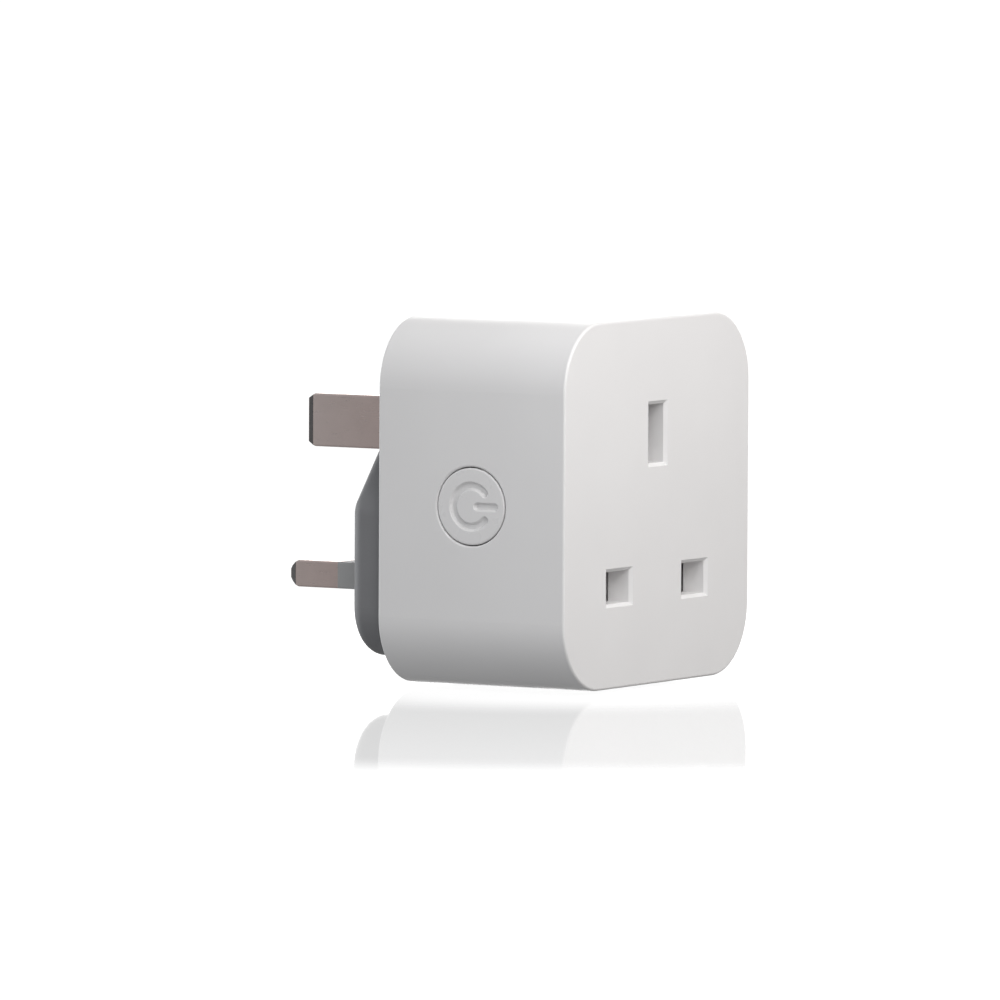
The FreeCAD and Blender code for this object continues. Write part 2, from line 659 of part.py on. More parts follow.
def neutral_busbar():
    x0, x1 = -POLE_X - 2.6, -POLE_X + 2.6
    points = [(x0, 11.6), (x1, 11.6), (x1, 18.4), (x0, 18.4)]
    return busbar(points, [((-POLE_X, TAB_Z), TAB_SLOT), ((-POLE_X, TAIL_Z), TAIL_SLOT)])


def line_busbar():
    x0, x1 = POLE_X - 2.6, POLE_X + 2.5
    points = [(x0, 15.2), (x1, 15.2), (x1, 19.6), (x0, 19.6)]
    return busbar(points, [((POLE_X, TAB_Z), TAB_SLOT)])


def load_busbar():
    x0, x1 = POLE_X - 2.0, 16.4
    inner = 14.2
    points = [(x0, 11.8), (x1, 11.8), (x1, 28.6), (inner, 28.6), (inner, 14.5), (x0, 14.5)]
    slots = [((POLE_X, TAIL_Z), TAIL_SLOT), ((15.2, 27.0), (0.6, 0.45))]
    return busbar(points, slots)


def current_shunt():
    """Manganin strip with a low arch, between the line busbar and the relay."""
    start = BOARD_Y[1]
    arch = start + 1.2
    path = [(start, 28.4), (start, 25.6), (arch, 24.4), (arch, 21.6), (start, 20.4), (start, 19.7)]
    shunt = prism(ribbon(path, 0.5), "x", (8.7, 11.6))
    return shunt.cut(slab((9.0, 27.0), (0.5, 0.4), (start - 1, start + 2)))


# ---------------------------------------------------------------- boards and components
CANS = [(21.4, 24.2), (21.4, 31.2)]
OUTPUT_CAN = (21.4, 37.7)
RADIO_X = (-12.0, 12.0)
RADIO_Z = (48.6, 49.6)
RADIO_PIN_X = [-9.0 + 2.0 * i for i in range(10)]
RELAY_PIN_PLACES = [(9.0, 27.0), (15.2, 27.0), (9.0, 42.6), (14.8, 42.6)]
FILM_LEADS = [(-9.8, 35.3), (-9.8, 45.3)]
VARISTOR_LEADS = [(-15.6, 36.0), (-15.6, 40.8)]
RESISTOR_LEADS = [(-20.8, 37.0), (-20.8, 40.6)]
INDUCTOR_LEADS = [(-2.2, 23.8), (-2.2, 28.2)]
FUSE_LEADS = [(5.6, 22.1), (17.3, 22.1)]


def can_leads(place):
    return [(place[0], place[1] - 1.25), (place[0], place[1] + 1.25)]


def main_board():
    """Main circuit board, cut away around the screw posts and the earth link."""
    board = join(
        box((-24.0, 24.0), BOARD_Y, (13.6, 40.9)),
        box((-16.6, 16.6), BOARD_Y, (3.2, 51.3)),
    )
    span = (BOARD_Y[0] - 1, BOARD_Y[1] + 1)
    cuts = [box((-4.0, 5.2), span, (32.8, 41.8))]
    leads = FILM_LEADS + VARISTOR_LEADS + RESISTOR_LEADS + INDUCTOR_LEADS + FUSE_LEADS
    for can in CANS + [OUTPUT_CAN]:
        leads = leads + can_leads(can)
    cuts += [rod_y(place, 0.5, span) for place in leads]
    cuts += [slab(place, (0.6, 0.45), span) for place in RELAY_PIN_PLACES]
    cuts += [slab((x, 49.1), (0.4, 0.4), span) for x in RADIO_PIN_X]
    cuts += [slab(place, (0.4, 0.4), span) for place in switch_pin_places()]
    for x in (-POLE_X, POLE_X):
        cuts.append(slab((x, TAB_Z), TAB_SLOT, span))
        cuts.append(slab((x, TAIL_Z), TAIL_SLOT, span))
    cuts += [rod_y(place, 1.15, span) for place in BOARD_SCREWS]
    return board.cut(cuts)


def board_screws():
    seat = BOARD_Y[1] + 0.02
    return Part.makeCompound([self_tapper(p, seat, (1.9, 1.2), 1.0, 8.0) for p in BOARD_SCREWS])


def lead(place, start, radius=0.4):
    return rod_y(place, radius, (start, LEAD_END))


def electrolytic(place, radius, height):
    """Aluminium capacitor standing on the board: domed can with a crimp groove."""
    base = BOARD_Y[0] - 0.3
    can = rod_y(place, radius, (base - height, base))
    top = [e for e in can.Edges if abs(e.CenterOfMass.y - base + height) < 1e-6]
    can = can.makeFillet(0.5, top)
    groove = Part.makeTorus(radius + 0.3, 0.6, Vector(place[0], base - 2.2, place[1]), Vector(0, 1, 0))
    return join(can.cut(groove), *[lead(p, base - 0.5, 0.3) for p in can_leads(place)])


def bulk_capacitors():
    return Part.makeCompound([electrolytic(place, 3.15, 12.0) for place in CANS])


def output_capacitor():
    return electrolytic(OUTPUT_CAN, 2.5, 9.0)


def film_capacitor():
    body = box((-12.8, -6.8), (-2.6, 8.8), (33.8, 46.8))
    body = body.makeFillet(0.5, body.Edges)
    return join(body, *[lead(p, 8.0) for p in FILM_LEADS])


def varistor():
    centre = (2.6, 38.4)
    disc = rod_x(centre, 4.5, (-17.4, -13.8))
    disc = disc.makeFillet(1.2, [e for e in disc.Edges if e.Curve.TypeId == "Part::GeomCircle"])
    return join(disc, *[lead(p, centre[0] + 1.0) for p in VARISTOR_LEADS])


def fusible_resistor():
    """Wire-wound resistor standing on end, its upper lead bent back down to the board."""
    upright, returning = RESISTOR_LEADS
    body = rod_y(upright, 2.0, (-1.5, 7.5))
    body = body.makeFillet(0.6, [e for e in body.Edges if e.Curve.TypeId == "Part::GeomCircle"])
    top = -2.6
    return join(
        body,
        rod_y(upright, 0.35, (top, LEAD_END)),
        rod_y(returning, 0.35, (top, LEAD_END)),
        rod_z((upright[0], top), 0.35, (upright[1], returning[1])),
    )


def filter_inductor():
    place = (-2.2, 26.0)
    drum = join(
        rod_y(place, 3.4, (0.4, 1.6)),
        rod_y(place, 2.8, (1.6, 7.4)),
        rod_y(place, 3.4, (7.4, 8.6)),
    )
    return join(drum, *[lead(p, 8.0, 0.35) for p in INDUCTOR_LEADS])


def thermal_fuse():
    """Axial thermal cut-out lying between the line contact and the relay."""
    z = FUSE_LEADS[0][1]
    y = 5.6
    body = rod_x((y, z), 1.6, (6.6, 15.6))
    parts = [rod_x((y, z), 0.35, (FUSE_LEADS[0][0], FUSE_LEADS[1][0]))]
    parts += [rod_y(place, 0.35, (y, LEAD_END)) for place in FUSE_LEADS]
    return join(body, *parts)


def surface_chip(xs, zs, height, rows):
    """Surface-mounted chip on the front of the board, with legs on its two long sides."""
    base = BOARD_Y[0] - 0.02
    body = box(xs, (base - height, base - 0.1), zs)
    legs = []
    pitch = (xs[1] - xs[0]) / rows
    for i in range(rows):
        x = xs[0] + pitch * (i + 0.5)
        for z0, z1 in ((zs[0] - 0.9, zs[0] + 0.2), (zs[1] - 0.2, zs[1] + 0.9)):
            legs.append(box((x - 0.2, x + 0.2), (base - 0.5, base), (z0, z1)))
    return join(body, *legs)


def metering_chip():
    return surface_chip((-2.5, 2.5), (5.4, 9.3), 1.6, 4)


def supply_chip():
    return surface_chip((-14.8, -9.8), (28.6, 32.2), 1.6, 4)


def bridge_rectifier():
    return surface_chip((-14.6, -10.0), (22.4, 26.0), 2.5, 2)


def radio_board():
    return box(RADIO_X, (-8.5, 8.7), RADIO_Z)


def radio_shield():
    base = RADIO_Z[1]
    can = box((-7.5, 7.5), (-3.0, 7.4), (base, base + 2.1))
    can = can.makeFillet(0.4, [e for e in can.Edges if e.CenterOfMass.z > base + 0.1])
    return can.cut(box((-7.3, 7.3), (-2.8, 7.2), (base - 1, base + 1.9)))


def radio_pins():
    """Right-angle pins from the face of the radio board into the main board."""
    low = RADIO_Z[0]
    pins = []
    for x in RADIO_PIN_X:
        foot = box((x - 0.3, x + 0.3), (6.6, 8.3), (low - 0.6, low))
        riser = box((x - 0.3, x + 0.3), (8.75, LEAD_END), (48.8, 49.4))
        bend = box((x - 0.3, x + 0.3), (8.2, 8.85), (low - 0.6, low))
        post = box((x - 0.3, x + 0.3), (8.75, 8.95), (low - 0.6, 49.4))
        pins.append(join(foot, bend, post, riser))
    return Part.makeCompound(pins)


# ---------------------------------------------------------------- relay
def relay_cover():
    cover = box(RELAY_X, (RELAY_TOP, 8.2), RELAY_Z)
    cover = cover.makeFillet(0.6, [e for e in cover.Edges if e.CenterOfMass.y < 8.0])
    xs = (RELAY_X[0] + RELAY_WALL, RELAY_X[1] - RELAY_WALL)
    zs = (RELAY_Z[0] + RELAY_WALL, RELAY_Z[1] - RELAY_WALL)
    return cover.cut(box(xs, (RELAY_TOP + RELAY_WALL, 9.0), zs))


def relay_base():
    gap = RELAY_WALL + 0.05
    xs = (RELAY_X[0] + gap, RELAY_X[1] - gap)
    zs = (RELAY_Z[0] + gap, RELAY_Z[1] - gap)
    return join(box(xs, (7.0, 8.3), zs), box(RELAY_X, (8.25, BOARD_Y[0] - 0.02), RELAY_Z))


def relay_pins():
    pins = [slab(place, (0.5, 0.35), (BOARD_Y[0] - 0.02, LEAD_END + 0.2)) for place in RELAY_PIN_PLACES]
    return Part.makeCompound(pins)


def relay_bobbin():
    place = (RELAY_MID, COIL_Z)
    bobbin = join(
        rod_y(place, 4.1, (-0.9, -0.2)),
        rod_y(place, 2.1, (-0.3, 5.3)),
        rod_y(place, 4.1, (5.2, 5.9)),
    )
    return bobbin.cut(rod_y(place, 1.65, (-2, 8)))


def relay_winding():
    place = (RELAY_MID, COIL_Z)
    return rod_y(place, 3.8, (-0.15, 5.15)).cut(rod_y(place, 2.15, (-1, 6)))


def relay_yoke():
    """Steel core and L-shaped yoke of the relay's magnet."""
    xs = (RELAY_MID - 3.6, RELAY_MID + 3.6)
    foot = box(xs, (5.95, 6.95), (26.6, 36.2))
    upright = box(xs, (ARMATURE_Y[1] + 0.06, 6.95), (35.0, 36.2))
    core = rod_y((RELAY_MID, COIL_Z), 1.6, (POLE_FACE, 6.5))
    return join(foot, upright, core)


def relay_armature():
    """Steel plate that rocks on the end of the yoke and closes onto the core."""
    xs = (RELAY_MID - 3.4, RELAY_MID + 3.4)
    return box(xs, ARMATURE_Y, (26.8, 37.4))


def relay_contact_leaf():
    """Springy leaf riveted on the armature, with the moving contact at its free end."""
    xs = (RELAY_MID - 2.0, RELAY_MID + 2.0)
    top = ARMATURE_Y[0]
    leaf = box(xs, (top - 0.2, top), (31.0, 42.0))
    return join(leaf, rod_y((RELAY_MID, 40.4), 1.2, (top - 0.6, top)))


def relay_fixed_contact():
    """Blade that rises from the base and bends over the moving contact."""
    path = [(6.98, 43.0), (-4.6, 43.0), (-4.6, 39.0)]
    blade = prism(ribbon(path, 0.4), "x", (RELAY_MID - 2.2, RELAY_MID + 2.2))
    button = rod_y((RELAY_MID, 40.4), 1.2, (-4.25, ARMATURE_Y[0] - 0.6 - CONTACT_GAP))
    return join(blade, button)


# ---------------------------------------------------------------- write one file per node
NODES = {
    "front_shell": front_shell,
    "rear_cover": rear_cover,
    "case_screws": case_screws,
    "earth_pin": earth_pin,
    "line_pin": lambda: pole_pin(1),
    "neutral_pin": lambda: pole_pin(-1),
    "line_pin_sleeve": lambda: pin_sleeve(1),
    "neutral_pin_sleeve": lambda: pin_sleeve(-1),
    "power_button": power_button,
    "button_light_guide": button_light_guide,
    "tact_switch_body": tact_switch_body,
    "tact_switch_plunger": tact_switch_plunger,
    "status_led": status_led,
    "switch_board": switch_board,
    "switch_board_pins": switch_board_pins,
    "socket_shutter": socket_shutter,
    "shutter_spring": shutter_spring,
    "contact_carrier": contact_carrier,
    "carrier_screws": carrier_screws,
    "line_contact": lambda: pole_contact(1),
    "neutral_contact": lambda: pole_contact(-1),
    "earth_contact": earth_contact,
    "earth_link": earth_link,
    "neutral_busbar": neutral_busbar,
    "line_busbar": line_busbar,
    "load_busbar": load_busbar,
    "current_shunt": current_shunt,
    "main_board": main_board,
    "board_screws": board_screws,
    "bulk_capacitors": bulk_capacitors,
    "output_capacitor": output_capacitor,
    "film_capacitor": film_capacitor,
    "varistor": varistor,
    "fusible_resistor": fusible_resistor,
    "filter_inductor": filter_inductor,
    "thermal_fuse": thermal_fuse,
    "metering_chip": metering_chip,
    "supply_chip": supply_chip,
    "bridge_rectifier": bridge_rectifier,
    "radio_board": radio_board,
    "radio_shield": radio_shield,
    "radio_pins": radio_pins,
    "relay_cover": relay_cover,
    "relay_base": relay_base,
    "relay_pins": relay_pins,
    "relay_bobbin": relay_bobbin,
    "relay_winding": relay_winding,
    "relay_yoke": relay_yoke,
    "relay_armature": relay_armature,
    "relay_contact_leaf": relay_contact_leaf,
    "relay_fixed_contact": relay_fixed_contact,
}

os.makedirs("parts", exist_ok=True)
for name, make in NODES.items():
    shape = make()
    solids = shape.Solids
    if not solids or not all(solid.isValid() and solid.Volume > 0 for solid in solids):
        raise RuntimeError(name + " is not made of sound solids")
    whole = solids[0] if len(solids) == 1 else Part.makeCompound(solids)
    whole.exportStep("parts/" + name + ".step")
    print(name, len(solids), round(whole.Volume, 2))
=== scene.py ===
"""Plug-through power meter: materials, detailed pieces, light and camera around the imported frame."""
import json
import math

import bmesh
import bpy
from mathutils import Matrix, Vector


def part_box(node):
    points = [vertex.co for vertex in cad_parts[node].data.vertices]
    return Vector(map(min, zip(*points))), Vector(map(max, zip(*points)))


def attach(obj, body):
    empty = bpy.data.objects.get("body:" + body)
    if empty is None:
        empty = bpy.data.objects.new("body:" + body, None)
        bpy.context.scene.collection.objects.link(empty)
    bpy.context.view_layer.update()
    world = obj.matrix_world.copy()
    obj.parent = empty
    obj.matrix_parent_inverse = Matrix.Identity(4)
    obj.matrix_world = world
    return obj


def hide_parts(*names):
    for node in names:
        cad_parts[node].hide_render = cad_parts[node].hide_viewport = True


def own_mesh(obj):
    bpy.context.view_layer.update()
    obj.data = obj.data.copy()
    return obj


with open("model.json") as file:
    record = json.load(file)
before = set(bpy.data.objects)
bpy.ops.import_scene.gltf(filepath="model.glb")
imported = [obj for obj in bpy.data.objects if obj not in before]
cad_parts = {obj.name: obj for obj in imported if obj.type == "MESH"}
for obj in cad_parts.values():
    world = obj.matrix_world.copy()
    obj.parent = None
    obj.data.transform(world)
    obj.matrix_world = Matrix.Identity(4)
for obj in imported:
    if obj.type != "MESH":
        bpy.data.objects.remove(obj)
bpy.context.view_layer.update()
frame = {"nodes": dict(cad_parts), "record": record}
MM = 0.001


# ---------------------------------------------------------------- camera
CAMERA_AZIMUTH = math.radians(-59.26)    # from the socket face round to the button's side
CAMERA_ELEVATION = math.radians(3.946)
CAMERA_ROLL = math.radians(0.283)
CAMERA_DISTANCE = 2006.6 * MM
CAMERA_TARGET = Vector((-20.584, -1.0, 27.887)) * MM
CAMERA_LENS = 488.7                     # focal length and sensor width in millimetres
CAMERA_SENSOR = 36.0
CAMERA_CLIP = (0.05, 30.0)


def add_camera():
    """A long lens far off, low and to the button's side of the socket face."""
    level = math.cos(CAMERA_ELEVATION)
    back = Vector((
        math.sin(CAMERA_AZIMUTH) * level,
        -math.cos(CAMERA_AZIMUTH) * level,
        math.sin(CAMERA_ELEVATION),
    ))
    right = Vector((math.cos(CAMERA_AZIMUTH), math.sin(CAMERA_AZIMUTH), 0.0))
    up = back.cross(right)
    right_rolled = right * math.cos(CAMERA_ROLL) + up * math.sin(CAMERA_ROLL)
    up_rolled = up * math.cos(CAMERA_ROLL) - right * math.sin(CAMERA_ROLL)
    data = bpy.data.cameras.new("camera")
    data.lens = CAMERA_LENS
    data.sensor_width = CAMERA_SENSOR
    data.clip_start, data.clip_end = CAMERA_CLIP
    camera = bpy.data.objects.new("camera", data)
    bpy.context.scene.collection.objects.link(camera)
    place = CAMERA_TARGET + back * CAMERA_DISTANCE
    axes = (right_rolled, up_rolled, back)
    turn = Matrix([[axis[row] for axis in axes] for row in range(3)])
    camera.matrix_world = Matrix.Translation(place) @ turn.to_4x4()
    bpy.context.scene.camera = camera


# ---------------------------------------------------------------- material helpers
def colour_socket(sockets, name=None):
    """The colour socket of a Mix node, which has sockets of the same name for other kinds of value."""
    return next(s for s in sockets if s.type == "RGBA" and name in (None, s.name))


class Tree:
    """A new material with short calls for its nodes."""

    def __init__(self, name):
        self.material = bpy.data.materials.new(name)
        self.material.use_nodes = True
        self.nodes = self.material.node_tree.nodes
        self.links = self.material.node_tree.links
        self.shader = self.nodes["Principled BSDF"]
        coords = self.nodes.new("ShaderNodeTexCoord")
        self.place = coords.outputs["Object"]

    def link(self, source, target):
        self.links.new(source, target)
        return source

    def stretched(self, factors):
        """The object's own coordinates, scaled by a factor along each axis."""
        mapping = self.nodes.new("ShaderNodeMapping")
        mapping.inputs["Scale"].default_value = factors
        self.link(self.place, mapping.inputs["Vector"])
        return mapping.outputs["Vector"]

    def noise(self, size, detail=3.0, roughness=0.55, vector=None):
        """Noise whose features are about size millimetres across."""
        node = self.nodes.new("ShaderNodeTexNoise")
        node.inputs["Scale"].default_value = 1.0 / (size * MM)
        node.inputs["Detail"].default_value = detail
        node.inputs["Roughness"].default_value = roughness
        self.link(vector or self.place, node.inputs["Vector"])
        return node.outputs["Fac"]

    def ramp(self, value, low, high, start=0.3, end=0.7):
        """Maps a value to a range of numbers."""
        node = self.nodes.new("ShaderNodeMapRange")
        node.inputs["From Min"].default_value = start
        node.inputs["From Max"].default_value = end
        node.inputs["To Min"].default_value = low
        node.inputs["To Max"].default_value = high
        self.link(value, node.inputs["Value"])
        return node.outputs["Result"]

    def blend(self, value, first, second, start=0.3, end=0.7):
        """Maps a value to a mix of two colours."""
        node = self.nodes.new("ShaderNodeMix")
        node.data_type = "RGBA"
        self.link(self.ramp(value, 0.0, 1.0, start, end), node.inputs["Factor"])
        for socket, colour in (("A", first), ("B", second)):
            target = colour_socket(node.inputs, socket)
            if isinstance(colour, bpy.types.NodeSocket):
                self.link(colour, target)
            else:
                target.default_value = (*colour, 1.0)
        return colour_socket(node.outputs)

    def bump(self, layers):
        """Stacks bump layers, each (height, depth in millimetres)."""
        normal = None
        for height, depth in layers:
            node = self.nodes.new("ShaderNodeBump")
            node.inputs["Strength"].default_value = 1.0
            node.inputs["Distance"].default_value = depth * MM
            self.link(height, node.inputs["Height"])
            if normal:
                self.link(normal, node.inputs["Normal"])
            normal = node.outputs["Normal"]
        self.link(normal, self.shader.inputs["Normal"])

    def set(self, **values):
        """Sets or links the shader's sockets, named with underscores for spaces."""
        for name, value in values.items():
            socket = self.shader.inputs[name.replace("_", " ")]
            if isinstance(value, bpy.types.NodeSocket):
                self.link(value, socket)
            elif isinstance(value, tuple) and len(value) == 3:
                socket.default_value = (*value, 1.0)
            else:
                socket.default_value = value


def math_node(tree, operation, *inputs):
    """A Math node whose inputs are numbers or sockets."""
    node = tree.nodes.new("ShaderNodeMath")
    node.operation = operation
    for i, value in enumerate(inputs):
        if isinstance(value, bpy.types.NodeSocket):
            tree.links.new(value, node.inputs[i])
        else:
            node.inputs[i].default_value = value
    return node.outputs["Value"]


def facing(tree, direction, axis):
    """How much a direction points along an axis."""
    node = tree.nodes.new("ShaderNodeVectorMath")
    node.operation = "DOT_PRODUCT"
    tree.links.new(direction, node.inputs[0])
    node.inputs[1].default_value = axis
    return node.outputs["Value"]


def ranged(tree, value, start, end, low=0.0, high=1.0):
    """A smooth step of a value between two limits."""
    node = tree.nodes.new("ShaderNodeMapRange")
    node.interpolation_type = "SMOOTHSTEP"
    numbers = {"From Min": start, "From Max": end, "To Min": low, "To Max": high}
    for name, number in numbers.items():
        node.inputs[name].default_value = number
    tree.links.new(value, node.inputs["Value"])
    return node.outputs["Result"]


def shade(colour, factor):
    """A colour made lighter or darker."""
    return tuple(min(1.0, c * factor) for c in colour)


# sizes of surface features, in millimetres
TONE_PATCH = 18.0
GLOSS_PATCH = 4.0
WAVE_LENGTH = 9.0
DRAWN_LINE = 0.16
STAIN_PATCH = 3.2
TRACK_PITCH = 6.0
GLASS_WEAVE = 0.5


def plastic(name, colour, roughness, grain=0.25, depth=0.004, spread=0.012, coat=0.0, wave=0.02, vary=0.05):
    """Moulded plastic: fine spark-eroded grain, slow waviness, and slight shifts of tone and gloss.

    Grain is the width of the fine texture, depth and wave the heights of the fine and slow ones, all in
    millimetres. Spread and vary are how far the tone and the roughness shift.
    """
    tree = Tree(name)
    slow = tree.noise(TONE_PATCH, 2.0)
    fine = tree.noise(grain, 2.0)
    tree.set(
        Base_Color=tree.blend(slow, shade(colour, 1 - spread), shade(colour, 1 + spread)),
        Roughness=tree.ramp(tree.noise(GLOSS_PATCH, 4.0), roughness - vary, roughness + vary),
        Coat_Weight=coat,
    )
    tree.bump([(tree.noise(WAVE_LENGTH, 1.0), wave), (fine, depth)])
    return tree.material


# stretches of the drawn lines along an axis
ALONG_Y = (1.0, 0.06, 1.0)
ALONG_Z = (1.0, 1.0, 0.06)
WOUND = (1.0, 12.0, 1.0)


def metal_tree(name, colour, roughness, along=(1.0, 1.0, 1.0), depth=0.003, stain=0.12):
    """Plated or rolled metal: drawn lines along one axis and soft uneven tarnish."""
    tree = Tree(name)
    lines = tree.noise(DRAWN_LINE, 2.0, 0.5, tree.stretched(along))
    stains = tree.noise(STAIN_PATCH, 4.0)
    tone = tree.blend(stains, shade(colour, 1 - stain), shade(colour, 1 + stain * 0.5))
    tree.set(
        Base_Color=tree.blend(lines, tone, shade(colour, 0.95), 0.42, 0.72),
        Metallic=1.0,
        Roughness=tree.ramp(lines, roughness - 0.03, roughness + 0.05),
    )
    tree.bump([(lines, depth)])
    return tree


def metal(*look, **more):
    """The material of a metal_tree that needs nothing more."""
    return metal_tree(*look, **more).material


def board(name, colour):
    """Circuit board: solder mask over faint raised tracks, with a woven glass ground."""
    tree = Tree(name)
    tracks = tree.nodes.new("ShaderNodeTexBrick")
    tracks.inputs["Scale"].default_value = 1.0 / (TRACK_PITCH * MM)
    tracks.inputs["Mortar Size"].default_value = 0.035
    tracks.inputs["Color1"].default_value = (0.0, 0.0, 0.0, 1.0)
    tracks.inputs["Color2"].default_value = (0.25, 0.25, 0.25, 1.0)
    tracks.inputs["Mortar"].default_value = (1.0, 1.0, 1.0, 1.0)
    turn = tree.nodes.new("ShaderNodeMapping")
    turn.inputs["Rotation"].default_value = (math.radians(90), 0.0, 0.0)
    tree.link(tree.place, turn.inputs["Vector"])
    tree.link(turn.outputs["Vector"], tracks.inputs["Vector"])
    raised = tracks.outputs["Fac"]
    cloth = tree.noise(GLASS_WEAVE, 2.0)
    ground = tree.blend(cloth, shade(colour, 0.9), shade(colour, 1.1))
    tree.set(
        Base_Color=tree.blend(raised, ground, shade(colour, 1.7), 0.4, 0.6),
        Roughness=tree.ramp(cloth, 0.28, 0.4),
    )
    tree.bump([(raised, 0.03), (cloth, 0.006)])
    return tree.material


WHITE = (0.81, 0.80, 0.80)
PIN_TAPERS = (38.25 * MM, 42.85 * MM)   # where the tapered ends of the pole pins and earth pin begin
PIN_ENDS = (39.38 * MM, 43.78 * MM)     # just short of their flat end faces
PIN_MARK_BLEND = 0.01 * MM
PIN_PAINTED_SHEEN = (26.0 * MM, 46.0 * MM)       # painted sheen: the plating is painted paler towards the tips between these places, and darker near the roots where the body shades it
PIN_SPLIT_HEIGHT = 26.0 * MM            # between the pole pins and the earth pin
PIN_DULLNESS = 0.25                     # added roughness of the tapered ends
NICKEL = (0.74, 0.585, 0.545)
# painted sheen: the paler plating towards the tips
NICKEL_PAINTED_SHEEN = (0.84, 0.72, 0.68)
# painted shade: near black on the tapered ends, standing in for the dark surround they reflect
NICKEL_PAINTED_SHADE = (0.083, 0.079, 0.078)


def pin_plate():
    """Satin nickel with drawn lines along the pins. Painted sheen makes it paler towards the tips, and the
    tapered ends are rougher and painted near black as painted shade.
    """
    tree = metal_tree("nickel_plate", NICKEL, 0.3, ALONG_Y)
    parts = tree.nodes.new("ShaderNodeSeparateXYZ")
    tree.link(tree.place, parts.inputs["Vector"])
    marks = []
    for places, low, high in ((PIN_TAPERS, 0.0, 1.0), (PIN_ENDS, 1.0, 0.0)):
        place = ranged(tree, parts.outputs["Z"], PIN_SPLIT_HEIGHT, PIN_SPLIT_HEIGHT + MM, *places)
        past = math_node(tree, "SUBTRACT", parts.outputs["Y"], place)
        marks.append(ranged(tree, past, 0.0, PIN_MARK_BLEND, low, high))
    # mask of the tapered ends, carrying added roughness and painted shade
    dull_and_painted_shade = math_node(tree, "MULTIPLY", *marks)
    plated = tree.shader.inputs["Base Color"].links[0].from_socket
    # painted sheen: paler towards the tips, darker near the roots in the body's shade
    painted_sheen = tree.blend(parts.outputs["Y"], plated, NICKEL_PAINTED_SHEEN, *PIN_PAINTED_SHEEN)
    satin = tree.shader.inputs["Roughness"].links[0].from_socket
    tree.set(
        # the tapered ends get painted shade, near black, and added roughness
        Base_Color=tree.blend(dull_and_painted_shade, painted_sheen, NICKEL_PAINTED_SHADE, 0.0, 1.0),
        Roughness=math_node(tree, "ADD", satin, math_node(tree, "MULTIPLY", dull_and_painted_shade, PIN_DULLNESS)),
    )
    return tree.material


def node_materials():
    """Material of each material slot of the record."""
    return {
        "shell_white": plastic("moulded_white", WHITE, 0.36),
        "button_white": plastic(
            "button_white", shade(WHITE, 0.99), 0.28, depth=0.0015, wave=0.008, vary=0.02,
        ),
        "shutter_white": plastic("shutter_white", shade(WHITE, 0.97), 0.45),
        "cover_grey": plastic("cover_grey", (0.20, 0.20, 0.208), 0.42, 0.3, 0.012, 0.05),
        "sleeve_grey": plastic("sleeve_grey", (0.44, 0.44, 0.44), 0.48, 0.2, 0.006, 0.06),
        "pin_metal": pin_plate(),
        "screw_steel": metal("zinc_plate", (0.60, 0.62, 0.64), 0.32),
        "spring_steel": metal("spring_steel", (0.55, 0.55, 0.56), 0.28),
        "contact_brass": metal("rolled_brass", (0.80, 0.58, 0.26), 0.26, ALONG_Y),
        "busbar_tin": metal("tinned_copper", (0.74, 0.73, 0.70), 0.34, ALONG_Z),
        "shunt_manganin": metal("manganin", (0.52, 0.36, 0.27), 0.42, ALONG_Z),
        "carrier_plastic": plastic("carrier_plastic", (0.66, 0.65, 0.60), 0.5),
        "light_guide": plastic("light_guide", (0.80, 0.82, 0.84), 0.2, depth=0.001, coat=0.5),
        "board_green": board("green_board", (0.015, 0.11, 0.035)),
        "board_blue": board("blue_board", (0.01, 0.03, 0.12)),
        "chip_black": plastic("chip_epoxy", (0.02, 0.02, 0.022), 0.55, 0.08, 0.004),
        "can_aluminium": metal("drawn_can", (0.80, 0.81, 0.83), 0.24, ALONG_Y),
        "film_yellow": plastic("film_case", (0.62, 0.45, 0.06), 0.4, coat=0.2),
        "varistor_blue": plastic("varistor_coat", (0.02, 0.10, 0.33), 0.35, 0.6, 0.02, 0.08),
        "resistor_green": plastic("resistor_coat", (0.10, 0.24, 0.18), 0.55, 0.3, 0.01, 0.08),
        "ferrite": plastic("ferrite", (0.05, 0.05, 0.052), 0.6, 0.15, 0.01, 0.1),
        "fuse_shell": metal("fuse_shell", (0.62, 0.62, 0.60), 0.35),
        "shield_tin": metal("tin_shield", (0.70, 0.70, 0.70), 0.3),
        "pin_gold": metal("gold_flash", (0.85, 0.62, 0.25), 0.25),
        "relay_blue": plastic("relay_case", (0.02, 0.11, 0.36), 0.35, coat=0.3),
        "relay_black": plastic("relay_base", (0.025, 0.025, 0.025), 0.5),
        "bobbin_white": plastic("bobbin", (0.72, 0.71, 0.66), 0.5),
        "winding_copper": metal("enamelled_wire", (0.60, 0.22, 0.08), 0.25, WOUND, 0.03),
        "relay_steel": metal("soft_iron", (0.52, 0.52, 0.53), 0.35),
        "relay_copper": metal("contact_strip", (0.74, 0.42, 0.24), 0.3, ALONG_Z),
        "switch_black": plastic("switch_case", (0.02, 0.02, 0.02), 0.45),
        "plunger_black": plastic("switch_plunger", (0.03, 0.03, 0.03), 0.4),
        "led_clear": plastic("led_lens", (0.80, 0.78, 0.55), 0.15, depth=0.001, coat=0.6),
    }


def dress_frame():
    """Gives each CAD node the material of its slot."""
    for entry in frame["record"]["subparts"]:
        node = frame["nodes"][entry["node"]]
        node.data.materials.clear()
        node.data.materials.append(MATERIALS[entry["material_slot"]])


# ---------------------------------------------------------------- push button
BUTTON_FACE = -27.3 * MM
BUTTON_HEIGHT = 27.25 * MM
SYMBOL_RADIUS = 3.05 * MM
SYMBOL_HALF = 0.5 * MM                  # half the width of the groove
SYMBOL_OPENING = math.radians(41)
SYMBOL_BAR = (1.05 * MM, 4.0 * MM)
SYMBOL_DEPTH = 0.54 * MM
SYMBOL_SLOPE = 0.36 * MM
BUTTON_SEGMENTS = 360
FACE_RADIUS = 5.45 * MM
FACE_RINGS = 76
